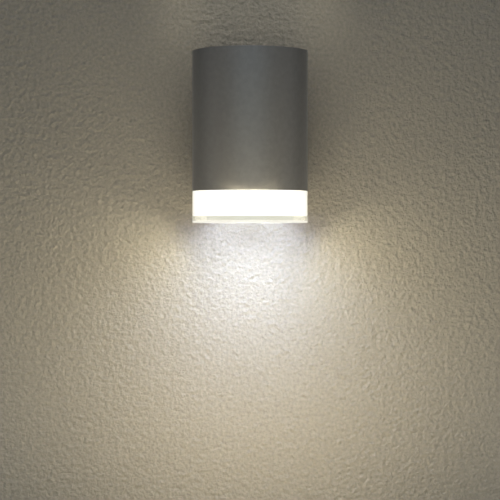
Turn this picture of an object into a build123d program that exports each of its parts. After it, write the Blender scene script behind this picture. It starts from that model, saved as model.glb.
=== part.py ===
from build123d import *
import math
import os

# Outdoor wall light: an upright metal cylinder with a luminous cup below it, held off the wall.
# Millimetres. The wall is the plane y = 0, the light stands out towards -Y, and +Z is up.
# The origin is the centre of the wall bracket's back face.

# Driving dimensions
body_d = 90.0
housing_height = 109.0
diffuser_height = 25.0
stand_off = 12.0
tube_wall = 4.0
lamp_face_d = 50.0
lamp_length = 48.0

# Clearances that several pieces share
slip_fit = 0.1
thread_fit = 0.05
screw_hole_gap = 0.15
seat_gap = 0.05
rim_gap = 0.15
soft_gap = 0.3
overrun = 1.0

# Metric screws and nuts: radii, head heights, and widths across flats
m4_r, m4_head_r, m4_head_h = 2.0, 3.6, 2.4
m3_r, m3_head_r, m3_head_h = 1.5, 2.75, 2.0
m4_nut_flats, m4_nut_h = 7.0, 3.2
m3_nut_flats, m3_nut_h = 5.5, 2.2
head_round_share = 0.6
socket_depth_share = 0.6
tip_share = 0.25

# Wall bracket
bracket_t = 2.0
bracket_side_gap, bracket_end_gap, bracket_corner = 2.0, 8.5, 5.0
slot_end_gap, slot_w, slot_length = 8.5, 5.0, 11.0
dish_r, dish_slope_w, dish_rise = 14.0, 2.0, 2.5
flange_half_z, flange_bend_r, flange_corner = 14.0, 1.0, 3.0
flange_reach = 11.5
flange_side_gap = 0.4
clamp_slot_w = 4.6
clamp_depth = 6.5

# Cable grommet
cable_r = 4.5
grommet_neck_r, grommet_lip_r, grommet_lip_t = 6.5, 8.5, 2.0
grommet_edge = 0.5

# Wall box with its gaskets and screws
box_w, box_mouth_gap, box_corner = 52.0, 1.0, 8.0
box_wall, box_edge = 3.0, 0.6
window_side_gap, window_end_gap, window_corner = 8.0, 13.0, 6.0
saddle_gasket_t, saddle_gasket_inset = 1.0, 1.0
wall_gasket_t, wall_gasket_inset = 1.5, 0.2
boss_r, boss_rear_gap, boss_web_t = 4.0, 3.5, 1.6
boss_floor_t = 1.5
saddle_screw_x, saddle_screw_end_gap, saddle_screw_length = 9.0, 7.0, 10.0
clamp_pad_r, clamp_pad_t = 4.8, 1.0
clamp_screw_length = 11.0
drain_r = 2.0

# Housing tube
tube_edge = 0.4
cap_recess_wall = 2.4
mouth_bore_wall, mouth_depth = 3.0, 11.5
mouth_step_wall = 1.75
spot_face_gap = 0.3

# Top cap and its seal
cap_t, cap_floor_t = 4.0, 3.5
spigot_depth, spigot_wall = 5.0, 3.4
cap_seal_r = 0.75
cap_boss_r, cap_boss_inset, cap_boss_length = 4.5, 13.0, 11.0
cap_rib_t, cap_rib_drop = 2.0, 7.0
cap_hole_floor = 1.5

# Reflector plate and the spring ring below it
reflector_t, reflector_flange_w, reflector_rise = 1.2, 5.6, 7.0
reflector_hole_gap = 1.6
ring_t, ring_band = 1.0, 3.0
ring_groove_depth = 1.0
ring_lug_r, ring_lug_hole_r = 2.6, 0.9
ring_opening_deg = 16.0

# Diffuser cups and ring seal
outer_wall, outer_floor, outer_edge = 1.8, 1.7, 0.6
floor_stack = 5.4
neck_wall, inner_floor, inner_fillet = 2.3, 3.0, 3.0
neck_height, neck_root_wall, neck_edge = 8.65, 1.4, 0.5
ring_seal_r, ring_seal_gap = 0.9, 0.2

# Lamp
lamp_setback = 2.5
lamp_wall, lamp_rim_h = 1.6, 3.5
lamp_collar_r = 10.4
lamp_base_r, lamp_base_h, lamp_base_wall, lamp_base_edge = 8.8, 12.0, 1.6, 1.0
lens_t, lens_dome = 1.8, 1.0
board_r, board_t, board_depth = 15.0, 1.6, 16.0
chip_w, chip_t = 9.0, 0.8
pin_pitch, pin_root, pin_edge = 10.0, 3.0, 0.4
pin_neck_r, pin_neck_h = 1.55, 3.4
pin_head_r, pin_head_h = 2.5, 2.9
lamp_turn_deg = 45.0
pin_rest_deg = 90.0

# Lampholder
holder_r, holder_h, holder_edge = 14.5, 17.0, 1.0
holder_gap = 0.3
face_plate_t = 3.0
bayonet_slot_gap, keyhole_gap = 0.15, 0.2
chamber_r, chamber_post_r, chamber_h = 7.9, 2.1, 5.0
holder_screw_x = 10.4
nut_pocket_depth = 2.4
channel_r, channel_x, channel_y = 1.5, 6.0, 5.5
contact_t, contact_lift = 0.4, 0.2
contact_inner_r, contact_outer_r = 3.2, 7.4
contact_barrel_r, contact_barrel_h = 1.3, 4.0
contact_shift_deg = 8.0

# Strap that carries the lampholder
strap_t, strap_w, strap_half_x, strap_bend_r = 1.2, 20.0, 17.0, 2.0
strap_foot_end = 5.0
strap_screw_length = 8.0
lead_slot_w, lead_slot_h = 17.0, 5.0
tab_w, tab_gap, tab_drop = 24.0, 2.5, 21.0

# Terminal block
block_w, block_d, block_h, block_edge = 28.0, 16.0, 17.0, 0.8
block_top_gap = 1.3
pole_pitch, pole_depth = 9.3, 7.8
groove_w, groove_floor_gap = 2.0, 0.6
terminal_r, terminal_bore_r, terminal_length = 2.4, 1.25, 13.0
entry_r = 1.7
terminal_screw_r, terminal_screw_pitch, terminal_screw_length = 1.25, 7.0, 4.5
terminal_screw_head_r, terminal_screw_head_h, terminal_well_r = 1.6, 1.0, 1.85
block_screw_length = 12.0

# Leads and the earth connection
lead_r, conductor_r, lead_end_gap = 1.1, 0.5, 0.4
lead_rise, lead_bend_r = 16.0, 8.5
earth_ring_r, earth_lug_t = 4.0, 0.8
earth_barrel_length, earth_barrel_gap = 6.0, 0.7
earth_screw_back, earth_screw_length = 4.0, 5.0
earth_lead_run = 4.5
earth_bend_r, earth_sweep_r = 6.5, 14.0

# Places that follow from the sizes
box_h = housing_height - 2 * (mouth_depth + box_mouth_gap)
bracket_w = box_w - 2 * (box_wall + bracket_side_gap)
bracket_h = box_h - 2 * (box_wall + bracket_end_gap)
slot_pitch = bracket_h - 2 * slot_end_gap
window_w = box_w - 2 * window_side_gap
window_h = box_h - 2 * window_end_gap
saddle_screw_z = box_h / 2 - saddle_screw_end_gap
body_r = body_d / 2
axis_y = -(stand_off + body_r)
top_z = housing_height / 2
rim_z = -housing_height / 2
bottom_z = rim_z - diffuser_height
tube_bore_r = body_r - tube_wall
flange_outer_x = box_w / 2 - box_wall - flange_side_gap
flange_inner_x = flange_outer_x - bracket_t

cap_recess_r = body_r - cap_recess_wall
cap_seat_z = top_z - cap_t + seat_gap
cap_under_z = top_z - cap_floor_t
cap_seal_z = cap_seat_z - spigot_depth / 2
cap_boss_z = cap_under_z - cap_boss_length
cap_boss_x = tube_bore_r - cap_boss_inset

shoulder_z = rim_z - rim_gap
mouth_bore_r = body_r - mouth_bore_wall
mouth_step_r = body_r - mouth_step_wall
mouth_top_z = rim_z + mouth_depth
mouth_step_z = shoulder_z + 2 * (ring_seal_r + soft_gap)
reflector_z = mouth_top_z - seat_gap
ring_top_z = reflector_z - reflector_t - seat_gap
ring_low_z = ring_top_z - ring_t
ring_groove_r = mouth_bore_r + ring_groove_depth

outer_bore_r = body_r - outer_wall
inner_floor_z = bottom_z + floor_stack
neck_r = mouth_bore_r - slip_fit
inner_bore_r = neck_r - neck_wall
neck_root_r = inner_bore_r + neck_root_wall

lamp_face_r = lamp_face_d / 2
lamp_face_z = rim_z + lamp_setback
lamp_top_z = lamp_face_z + lamp_length
lamp_collar_z = lamp_top_z - lamp_base_h
pin_head_z = lamp_top_z + pin_neck_h

holder_face_z = lamp_top_z + holder_gap
holder_top_z = holder_face_z + holder_h
chamber_z = holder_face_z + face_plate_t
contact_z = pin_head_z + pin_head_h + contact_lift
barrel_top_z = contact_z + contact_barrel_h
strip_length = contact_barrel_h - contact_t + lead_end_gap - seat_gap
channel_deg = math.degrees(math.atan2(channel_y, channel_x))

strap_low_z = holder_top_z + seat_gap
strap_top_z = strap_low_z + strap_t
strap_foot_z = cap_boss_z - seat_gap
strap_inner_x = strap_half_x - strap_t
tab_rear_y = axis_y + holder_r + tab_gap + strap_t

block_front_y = tab_rear_y + seat_gap
block_rear_y = block_front_y + block_d
block_top_z = strap_top_z - strap_bend_r - block_top_gap
block_mid_z = block_top_z - block_h / 2
pole_y = block_front_y + pole_depth
terminal_top_z = block_mid_z + terminal_length / 2
groove_floor_y = pole_y + terminal_r + groove_floor_gap

earth_z = block_top_z + lead_rise
earth_screw_y = axis_y - earth_screw_back
earth_lug_x = strap_inner_x - seat_gap
earth_barrel_x = earth_lug_x - contact_barrel_r
earth_barrel_y = earth_screw_y + earth_ring_r + earth_barrel_gap


def upright(radius, z_low, z_high, x=0, y=axis_y):
    """Upright cylinder between two heights, on the body's axis unless a place is given."""
    solid = Cylinder(radius, z_high - z_low, align=(Align.CENTER, Align.CENTER, Align.MIN))
    return Pos(x, y, z_low) * solid


def along_x(radius, x_low, x_high, y, z):
    """Cylinder that lies along X."""
    solid = Cylinder(radius, x_high - x_low, align=(Align.CENTER, Align.CENTER, Align.MIN))
    return Pos(x_low, y, z) * Rot(0, 90, 0) * solid


def along_y(radius, y_low, y_high, x, z):
    """Cylinder that lies along Y."""
    solid = Cylinder(radius, y_high - y_low, align=(Align.CENTER, Align.CENTER, Align.MIN))
    return Pos(x, y_high, z) * Rot(90, 0, 0) * solid


def block(x_ends, y_ends, z_ends):
    """Box between two values along each axis, given in either order."""
    low = [min(ends) for ends in (x_ends, y_ends, z_ends)]
    high = [max(ends) for ends in (x_ends, y_ends, z_ends)]
    sizes = [b - a for a, b in zip(low, high)]
    return Pos(*low) * Box(*sizes, align=(Align.MIN, Align.MIN, Align.MIN))


def slab(width, height, corner, y_low, y_high):
    """Plate parallel to the wall, with rounded corners, between two depths."""
    outline = Plane.XZ.offset(-y_high) * RectangleRounded(width, height, corner)
    return extrude(outline, amount=y_high - y_low)


def turned(*profile):
    """Solid turned about the body's axis from a closed profile of (radius, height) points."""
    face = make_face(Polyline(*profile, close=True))
    return Pos(0, axis_y, 0) * revolve(Plane.XZ * face, Axis.Z)


def end_circle(solid, which):
    """The lowest (0) or highest (-1) circular edge of a solid."""
    return solid.edges().filter_by(GeomType.CIRCLE).sort_by(Axis.Z)[which]


def screw(shank_r, head_r, head_h, length):
    """Button-head screw on the Z axis: its head stands on z = 0 and its shank hangs below."""
    head = Cylinder(head_r, head_h, align=(Align.CENTER, Align.CENTER, Align.MIN))
    head = fillet(end_circle(head, -1), head_h * head_round_share)
    shank = Cylinder(shank_r, length, align=(Align.CENTER, Align.CENTER, Align.MAX))
    shank = chamfer(end_circle(shank, 0), shank_r * tip_share)
    socket = extrude(RegularPolygon(shank_r, 6), amount=head_h * socket_depth_share)
    return head + shank - Pos(0, 0, head_h * (1 - socket_depth_share)) * socket


def nut(flats, height, bore_r):
    """Hexagon nut that stands on z = 0."""
    return extrude(RegularPolygon(flats / 2, 6, major_radius=False) - Circle(bore_r), amount=height)


# Wall bracket


def make_wall_bracket():
    """Steel plate with two vertical slots, a dished cable hole and two flanges that are clamped."""
    plate = slab(bracket_w, bracket_h, bracket_corner, -bracket_t, 0)
    flange = make_bracket_flange()
    plate += flange
    plate += mirror(flange, Plane.YZ)
    for z in (-slot_pitch / 2, slot_pitch / 2):
        outline = Plane.XZ.offset(-overrun) * Pos(0, z) * SlotOverall(slot_length, slot_w, 90)
        plate -= extrude(outline, amount=bracket_t + 2 * overrun)
    plate -= along_y(dish_r, -bracket_t, 0, 0, 0)
    dish_floor_r = dish_r - dish_slope_w
    dish = Polyline(
        (dish_r, 0),
        (dish_floor_r, -dish_rise),
        (grommet_neck_r, -dish_rise),
        (grommet_neck_r, -dish_rise - bracket_t),
        (dish_floor_r - bracket_t / 2, -dish_rise - bracket_t),
        (dish_r, -bracket_t),
        close=True,
    )
    return plate + revolve(make_face(dish), Axis.Y)


def make_bracket_flange():
    """Right-hand flange, bent forward, with a slot open to the front for the clamping screw."""
    z_ends = (-flange_half_z, flange_half_z)
    bent = block((0, flange_outer_x), (-bracket_t, 0), z_ends)
    bent += block((flange_inner_x, flange_outer_x), (-flange_reach, 0), z_ends)
    upright_edges = bent.edges().filter_by(Axis.Z).group_by(Axis.X)
    outside = upright_edges[-1].sort_by(Axis.Y)[-1]
    inside = upright_edges[-2].sort_by(Axis.Y)[-1]
    bent = fillet(outside, flange_bend_r + bracket_t)
    bent = fillet(bent.edges().sort_by_distance(inside.center())[0], flange_bend_r)
    front_corners = bent.edges().filter_by(Axis.X).group_by(Axis.Y)[0]
    bent = fillet(front_corners, flange_corner)
    bent -= along_x(clamp_slot_w / 2, 0, box_w, -clamp_depth, 0)
    slot_z = (-clamp_slot_w / 2, clamp_slot_w / 2)
    return bent - block((flange_inner_x - flange_bend_r, box_w), (-flange_reach, -clamp_depth), slot_z)


def make_cable_grommet():
    """Rubber grommet in the dished hole, with a lip on each side of the plate."""
    rear_y = -dish_rise + grommet_lip_t
    plate_rear_y = -dish_rise + seat_gap
    plate_front_y = -dish_rise - bracket_t - seat_gap
    front_y = plate_front_y - grommet_lip_t
    profile = Polyline(
        (cable_r, rear_y),
        (grommet_lip_r - grommet_edge, rear_y),
        (grommet_lip_r, rear_y - grommet_edge),
        (grommet_lip_r, plate_rear_y),
        (grommet_neck_r - seat_gap, plate_rear_y),
        (grommet_neck_r - seat_gap, plate_front_y),
        (grommet_lip_r, plate_front_y),
        (grommet_lip_r, front_y + grommet_edge),
        (grommet_lip_r - grommet_edge, front_y),
        (cable_r, front_y),
        close=True,
    )
    return revolve(make_face(profile), Axis.Y)


# Wall box, its gaskets and its screws


def saddle_screw_places():
    """The four screws between tube and wall box: a pair above the window and a pair below it."""
    return [(x, z) for x in (-saddle_screw_x, saddle_screw_x) for z in (-saddle_screw_z, saddle_screw_z)]


def spot_face_y():
    """Depth at which a saddle screw's head seats all round on the tube's curved bore."""
    near_edge_x = saddle_screw_x - m4_head_r
    return axis_y + math.sqrt(tube_bore_r**2 - near_edge_x**2)


def make_wall_box():
    """Cast saddle box: open towards the wall, with a curved front that fits round the tube."""
    rear_y = -wall_gasket_t
    front = upright(body_r + saddle_gasket_t, -box_h, box_h)
    skin = upright(body_r + saddle_gasket_t + box_wall, -box_h, box_h)
    shell = slab(box_w, box_h, box_corner, axis_y, rear_y) - front
    shell = chamfer(shell.edges().group_by(Axis.Y)[-1], box_edge)
    hollow = slab(box_w - 2 * box_wall, box_h - 2 * box_wall, box_corner - box_wall, axis_y, rear_y)
    shell -= hollow - skin
    shell -= slab(window_w, window_h, window_corner, axis_y, rear_y)
    for x, z in saddle_screw_places():
        boss = along_y(boss_r, axis_y, -boss_rear_gap, x, z)
        wall_z = math.copysign(box_h / 2 - box_wall / 2, z)
        boss += block((x - boss_web_t / 2, x + boss_web_t / 2), (axis_y, -boss_rear_gap), (z, wall_z))
        shell += boss - front
        shell -= along_y(m4_r + thread_fit, axis_y, -boss_rear_gap - boss_floor_t, x, z)
    pad_x = box_w / 2 + clamp_pad_t
    for side in (-1, 1):
        inner_x = side * (box_w / 2 - box_wall / 2)
        pad_ends = sorted((inner_x, side * pad_x))
        shell += along_x(clamp_pad_r, *pad_ends, -clamp_depth, 0)
    shell -= along_x(m4_r + screw_hole_gap, -pad_x, pad_x, -clamp_depth, 0)
    drain_y = (-wall_gasket_t - stand_off) / 2
    return shell - upright(drain_r, -box_h, -box_h / 2 + box_wall, 0, drain_y)


def make_saddle_gasket():
    """Curved rubber sheet between the tube and the wall box."""
    grow = 2 * saddle_gasket_inset
    corner_in = box_corner - saddle_gasket_inset
    corner_out = window_corner + saddle_gasket_inset
    sheet = upright(body_r + saddle_gasket_t - seat_gap, -box_h, box_h)
    sheet -= upright(body_r + seat_gap, -box_h, box_h)
    sheet = sheet & slab(box_w - grow, box_h - grow, corner_in, axis_y, 0)
    sheet -= slab(window_w + grow, window_h + grow, corner_out, axis_y, 0)
    for x, z in saddle_screw_places():
        sheet -= along_y(m4_r + screw_hole_gap, axis_y, 0, x, z)
    return sheet


def make_wall_gasket():
    """Foam frame between the wall box's rear rim and the wall."""
    trim = 2 * box_edge
    outer = slab(box_w - trim, box_h - trim, box_corner - box_edge, -wall_gasket_t, 0)
    inset = box_wall - wall_gasket_inset
    inner = slab(box_w - 2 * inset, box_h - 2 * inset, box_corner - inset, -wall_gasket_t, 0)
    return outer - inner


def make_saddle_screws():
    """Four M4 screws from inside the tube into the wall box's bosses."""
    one = Rot(90, 0, 0) * screw(m4_r, m4_head_r, m4_head_h, saddle_screw_length)
    return [Pos(x, spot_face_y() - seat_gap, z) * one for x, z in saddle_screw_places()]


def make_fixing_screws():
    """Two M4 screws through the wall box's sides, whose nuts clamp the bracket's flanges."""
    seat_x = box_w / 2 + clamp_pad_t + seat_gap
    one = screw(m4_r, m4_head_r, m4_head_h, clamp_screw_length)
    return [Pos(side * seat_x, -clamp_depth, 0) * Rot(0, side * 90, 0) * one for side in (-1, 1)]


def make_clamp_nuts():
    """The nuts of the fixing screws, inside the bracket's flanges."""
    outer_x = flange_inner_x - 2 * slip_fit
    one = nut(m4_nut_flats, m4_nut_h, m4_r + thread_fit)
    return [Pos(side * outer_x, -clamp_depth, 0) * Rot(0, -side * 90, 0) * one for side in (-1, 1)]


# Housing tube


def make_housing_tube():
    """Aluminium tube: cap recess at the top, bored mouth below, and a wiring window at the rear."""
    tube = turned(
        (body_r - tube_edge, rim_z),
        (body_r, rim_z + tube_edge),
        (body_r, top_z - tube_edge),
        (body_r - tube_edge, top_z),
        (cap_recess_r, top_z),
        (cap_recess_r, top_z - cap_t),
        (tube_bore_r, top_z - cap_t),
        (tube_bore_r, mouth_top_z),
        (mouth_bore_r, mouth_top_z),
        (mouth_bore_r, ring_top_z + seat_gap),
        (ring_groove_r, ring_top_z + seat_gap),
        (ring_groove_r, ring_low_z - seat_gap),
        (mouth_bore_r, ring_low_z - seat_gap),
        (mouth_bore_r, mouth_step_z),
        (mouth_step_r, mouth_step_z),
        (mouth_step_r, rim_z),
    )
    tube -= slab(window_w, window_h, window_corner, axis_y, 0)
    for x, z in saddle_screw_places():
        tube -= along_y(m4_r + screw_hole_gap, axis_y, 0, x, z)
        tube -= along_y(m4_head_r + spot_face_gap, axis_y, spot_face_y(), x, z)
    return tube


# Top cap and its seal


def make_top_cap():
    """Cast cap on the ledge inside the tube's top, with a sealed spigot and two ribbed bosses."""
    disc_r = cap_recess_r - slip_fit
    spigot_r = tube_bore_r - slip_fit
    spigot_inner_r = spigot_r - spigot_wall
    groove_r = tube_bore_r - 2 * (cap_seal_r + seat_gap)
    groove_half = cap_seal_r + seat_gap
    cap = turned(
        (0, top_z),
        (disc_r - tube_edge, top_z),
        (disc_r, top_z - tube_edge),
        (disc_r, cap_seat_z),
        (spigot_r, cap_seat_z),
        (spigot_r, cap_seal_z + groove_half),
        (groove_r, cap_seal_z + groove_half),
        (groove_r, cap_seal_z - groove_half),
        (spigot_r, cap_seal_z - groove_half),
        (spigot_r, cap_seat_z - spigot_depth),
        (spigot_inner_r, cap_seat_z - spigot_depth),
        (spigot_inner_r, cap_under_z),
        (0, cap_under_z),
    )
    rib_y = (axis_y - cap_rib_t / 2, axis_y + cap_rib_t / 2)
    for x in (-cap_boss_x, cap_boss_x):
        cap += upright(cap_boss_r, cap_boss_z, cap_under_z, x)
        rib_end_x = math.copysign(spigot_inner_r + spigot_wall / 2, x)
        cap += block((x, rib_end_x), rib_y, (cap_under_z - cap_rib_drop, cap_under_z))
        cap -= upright(m4_r + thread_fit, cap_boss_z, cap_under_z - cap_hole_floor, x)
    return cap


def make_cap_seal():
    """Rubber ring in the spigot's groove."""
    return Pos(0, axis_y, cap_seal_z) * Torus(tube_bore_r - seat_gap - cap_seal_r, cap_seal_r)


# Strap and its screws


def bent_strip(*corners):
    """Section of a bent steel strip, drawn from its upper side, with the metal to the right of it."""
    upper_side = FilletPolyline(*corners, radius=strap_bend_r)
    return make_face(offset(upper_side, amount=strap_t, side=Side.RIGHT))


def make_holder_strap():
    """Steel strap hung from the cap's bosses, with a rear tab for the terminal block."""
    half = bent_strip(
        (0, strap_top_z),
        (strap_inner_x, strap_top_z),
        (strap_inner_x, strap_foot_z),
        (cap_boss_x + strap_foot_end, strap_foot_z),
    )
    half = extrude(Plane.XZ.offset(-axis_y) * half, amount=strap_w / 2, both=True)
    strap = half + mirror(half, Plane.YZ)
    tab = bent_strip(
        (axis_y, strap_top_z), (tab_rear_y, strap_top_z), (tab_rear_y, strap_top_z - tab_drop)
    )
    strap += extrude(Plane.YZ * tab, amount=tab_w / 2, both=True)
    lead_slot = Plane.XY.offset(strap_low_z) * Pos(0, axis_y + channel_y)
    strap -= extrude(lead_slot * SlotOverall(lead_slot_w, lead_slot_h), amount=strap_t)
    for side in (-1, 1):
        strap -= upright(m3_r + screw_hole_gap, strap_low_z, strap_top_z, side * holder_screw_x)
        strap -= upright(m4_r + screw_hole_gap, strap_foot_z - strap_t, strap_foot_z, side * cap_boss_x)
        strap -= along_y(m3_r + thread_fit, axis_y, tab_rear_y, side * pole_pitch / 2, block_mid_z)
    return strap - along_x(m4_r + thread_fit, 0, strap_half_x, earth_screw_y, earth_z)


def make_strap_screws():
    """Two M4 screws up through the strap's feet into the cap's bosses."""
    one = Rot(180, 0, 0) * screw(m4_r, m4_head_r, m4_head_h, strap_screw_length)
    seat_z = strap_foot_z - strap_t - seat_gap
    return [Pos(x, axis_y, seat_z) * one for x in (-cap_boss_x, cap_boss_x)]


# Lampholder with its bayonet slots


def bayonet_cutter():
    """The two curved slots through the face plate, each with a keyhole that lets a pin's head in."""
    path_r = pin_pitch / 2
    outline = Sketch()
    for turn in (pin_rest_deg, pin_rest_deg + 180):
        path = CenterArc((0, 0), path_r, turn - lamp_turn_deg, lamp_turn_deg)
        outline += SlotArc(path, 2 * (pin_neck_r + bayonet_slot_gap))
        outline += Rot(0, 0, turn - lamp_turn_deg) * Pos(path_r, 0) * Circle(pin_head_r + keyhole_gap)
    return Pos(0, axis_y, holder_face_z) * extrude(outline, amount=face_plate_t)


def make_lampholder_face():
    """Ceramic face plate with the bayonet slots and the pockets for the two nuts."""
    plate = upright(holder_r, holder_face_z, chamber_z)
    plate = chamfer(end_circle(plate, 0), holder_edge) - bayonet_cutter()
    pocket_outline = RegularPolygon(m3_nut_flats / 2 + slip_fit, 6, major_radius=False)
    pocket = extrude(pocket_outline, amount=nut_pocket_depth)
    for side in (-1, 1):
        plate -= upright(m3_r + screw_hole_gap, holder_face_z, chamber_z, side * holder_screw_x)
        plate -= Pos(side * holder_screw_x, axis_y, holder_face_z) * pocket
    return plate


def make_lampholder():
    """Ceramic body on the face plate, with a chamber for the pins' heads and two lead channels."""
    body_low_z = chamber_z + seat_gap
    body = upright(holder_r, body_low_z, holder_top_z)
    body = chamfer(end_circle(body, -1), holder_edge)
    chamber = upright(chamber_r, body_low_z, chamber_z + chamber_h)
    body -= chamber - upright(chamber_post_r, body_low_z, chamber_z + chamber_h)
    for side in (-1, 1):
        channel_low_z = contact_z - contact_lift
        body -= upright(channel_r, channel_low_z, holder_top_z, side * channel_x, axis_y + channel_y)
        body -= upright(m3_r + screw_hole_gap, body_low_z, holder_top_z, side * holder_screw_x)
    return body


def make_holder_contacts():
    """Two bronze leaves just above the pins' heads, each with a barrel for its lead."""
    path_r = (contact_inner_r + contact_outer_r) / 2
    near_span = (channel_deg, pin_rest_deg)
    far_span = (180 - channel_deg + contact_shift_deg, pin_rest_deg + 180)
    contacts = []
    for (start, end), x in ((near_span, channel_x), (far_span, -channel_x)):
        band = SlotArc(CenterArc((0, 0), path_r, start, end - start), contact_outer_r - contact_inner_r)
        leaf = Pos(0, axis_y, contact_z) * extrude(band, amount=contact_t)
        leaf += upright(contact_barrel_r, contact_z, barrel_top_z, x, axis_y + channel_y)
        bore_z = contact_z + contact_t
        leaf -= upright(conductor_r + seat_gap, bore_z, barrel_top_z, x, axis_y + channel_y)
        contacts.append(leaf)
    return contacts


def make_holder_screws():
    """Two M3 screws down through the strap into the holder's captive nuts."""
    seat_z = strap_top_z + seat_gap
    one = screw(m3_r, m3_head_r, m3_head_h, seat_z - holder_face_z - slip_fit)
    return [Pos(x, axis_y, seat_z) * one for x in (-holder_screw_x, holder_screw_x)]


def make_holder_nuts():
    """The nuts of the holder screws, in their pockets beside the bayonet slots."""
    low_z = holder_face_z + nut_pocket_depth - seat_gap - m3_nut_h
    one = nut(m3_nut_flats, m3_nut_h, m3_r + thread_fit)
    return [Pos(x, axis_y, low_z) * one for x in (-holder_screw_x, holder_screw_x)]


# Terminal block


def pole_places():
    """X of the live, neutral and earth poles."""
    return [-pole_pitch, 0, pole_pitch]


def terminal_screw_heights():
    """Z of the two clamping screws of each pole."""
    return [block_mid_z - terminal_screw_pitch / 2, block_mid_z + terminal_screw_pitch / 2]


def make_terminal_block():
    """Moulded three-pole block with screw wells at the rear and grooves between the poles."""
    half_w = block_w / 2
    low_z = block_mid_z - block_h / 2
    body = block((-half_w, half_w), (block_front_y, block_rear_y), (low_z, block_top_z))
    body = chamfer(body.edges().group_by(Axis.Y)[-1], block_edge)
    for side in (-1, 1):
        x = side * pole_pitch / 2
        groove_x = (x - groove_w / 2, x + groove_w / 2)
        body -= block(groove_x, (groove_floor_y, block_rear_y), (low_z, block_top_z))
        body -= along_y(m3_head_r + screw_hole_gap, groove_floor_y, block_rear_y, x, block_mid_z)
        body -= along_y(m3_r + screw_hole_gap, block_front_y, block_rear_y, x, block_mid_z)
    terminal_low_z = terminal_top_z - terminal_length
    for x in pole_places():
        body -= upright(terminal_r + seat_gap, terminal_low_z, terminal_top_z, x, pole_y)
        body -= upright(entry_r, low_z, block_top_z, x, pole_y)
        for z in terminal_screw_heights():
            body -= along_y(terminal_well_r, pole_y, block_rear_y, x, z)
    return body


def make_terminal_tubes():
    """Three brass tubes, each tapped for two clamping screws."""
    tubes = []
    for x in pole_places():
        low_z = terminal_top_z - terminal_length
        tube = upright(terminal_r, low_z, terminal_top_z, x, pole_y)
        tube -= upright(terminal_bore_r, low_z, terminal_top_z, x, pole_y)
        for z in terminal_screw_heights():
            tube -= along_y(terminal_screw_r + thread_fit, pole_y, block_rear_y, x, z)
        tubes.append(tube)
    return tubes


def make_terminal_screws():
    """Six clamping screws, with their tips just off the conductors."""
    one = screw(terminal_screw_r, terminal_screw_head_r, terminal_screw_head_h, terminal_screw_length)
    one = Rot(-90, 0, 0) * one
    seat_y = pole_y + conductor_r + seat_gap + terminal_screw_length
    return [Pos(x, seat_y, z) * one for x in pole_places() for z in terminal_screw_heights()]


def make_terminal_fixing_screws():
    """Two M3 screws that hold the terminal block to the strap's tab."""
    one = Rot(-90, 0, 0) * screw(m3_r, m3_head_r, m3_head_h, block_screw_length)
    seat_y = groove_floor_y + seat_gap
    return [Pos(side * pole_pitch / 2, seat_y, block_mid_z) * one for side in (-1, 1)]


# Leads and the earth connection


def make_lead(route, bends):
    """Insulated lead along straight runs and arcs, with a bare conductor at each end."""
    path = FilletPolyline(*route, radius=bends)
    lead = sweep(Plane(origin=path @ 0, z_dir=path % 0) * Circle(lead_r), path=path)
    for end, outward in ((path @ 0, (path % 0) * -1), (path @ 1, path % 1)):
        conductor = Plane(origin=end, z_dir=outward) * Circle(conductor_r)
        lead += extrude(conductor, amount=strip_length)
    return lead


def block_entry(x):
    """Where a lead's insulation ends in the top of the terminal block."""
    return (x, pole_y, terminal_top_z + lead_end_gap)


def make_lamp_lead(pole_x, holder_x):
    """Lead from the terminal block over the strap's tab and down into the lampholder."""
    holder_y = axis_y + channel_y
    route = [
        block_entry(pole_x),
        (pole_x, pole_y, block_top_z + lead_rise),
        (holder_x, holder_y, block_top_z + lead_rise),
        (holder_x, holder_y, barrel_top_z + lead_end_gap),
    ]
    return make_lead(route, [lead_bend_r, lead_bend_r])


def make_lead_live():
    """Lead of the live pole."""
    return make_lamp_lead(pole_places()[0], -channel_x)


def make_lead_neutral():
    """Lead of the neutral pole."""
    return make_lamp_lead(pole_places()[1], channel_x)


def make_lead_earth():
    """Lead from the earth pole to the lug on the strap's leg."""
    pole_x = pole_places()[2]
    lug_end_y = earth_barrel_y + earth_barrel_length + lead_end_gap
    route = [
        block_entry(pole_x),
        (pole_x, pole_y, earth_z),
        (earth_barrel_x, lug_end_y + earth_lead_run, earth_z),
        (earth_barrel_x, lug_end_y, earth_z),
    ]
    return make_lead(route, [earth_bend_r, earth_sweep_r])


def make_earth_lug():
    """Ring terminal flat on the inside of the strap's leg, with a crimped barrel."""
    ring_x = (earth_lug_x - earth_lug_t, earth_lug_x)
    lug = along_x(earth_ring_r, *ring_x, earth_screw_y, earth_z)
    barrel_z = (earth_z - contact_barrel_r, earth_z + contact_barrel_r)
    lug += block(ring_x, (earth_screw_y, earth_barrel_y + earth_barrel_length), barrel_z)
    lug -= along_x(m4_r + screw_hole_gap, *ring_x, earth_screw_y, earth_z)
    barrel_end_y = earth_barrel_y + earth_barrel_length
    lug += along_y(contact_barrel_r, earth_barrel_y, barrel_end_y, earth_barrel_x, earth_z)
    bore_r = conductor_r + seat_gap
    return lug - along_y(bore_r, earth_barrel_y, barrel_end_y, earth_barrel_x, earth_z)


def make_earth_screw():
    """M4 screw through the lug into the strap's leg."""
    seat_x = earth_lug_x - earth_lug_t - seat_gap
    one = Rot(0, -90, 0) * screw(m4_r, m4_head_r, m4_head_h, earth_screw_length)
    return Pos(seat_x, earth_screw_y, earth_z) * one


# Reflector plate and spring ring


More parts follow.
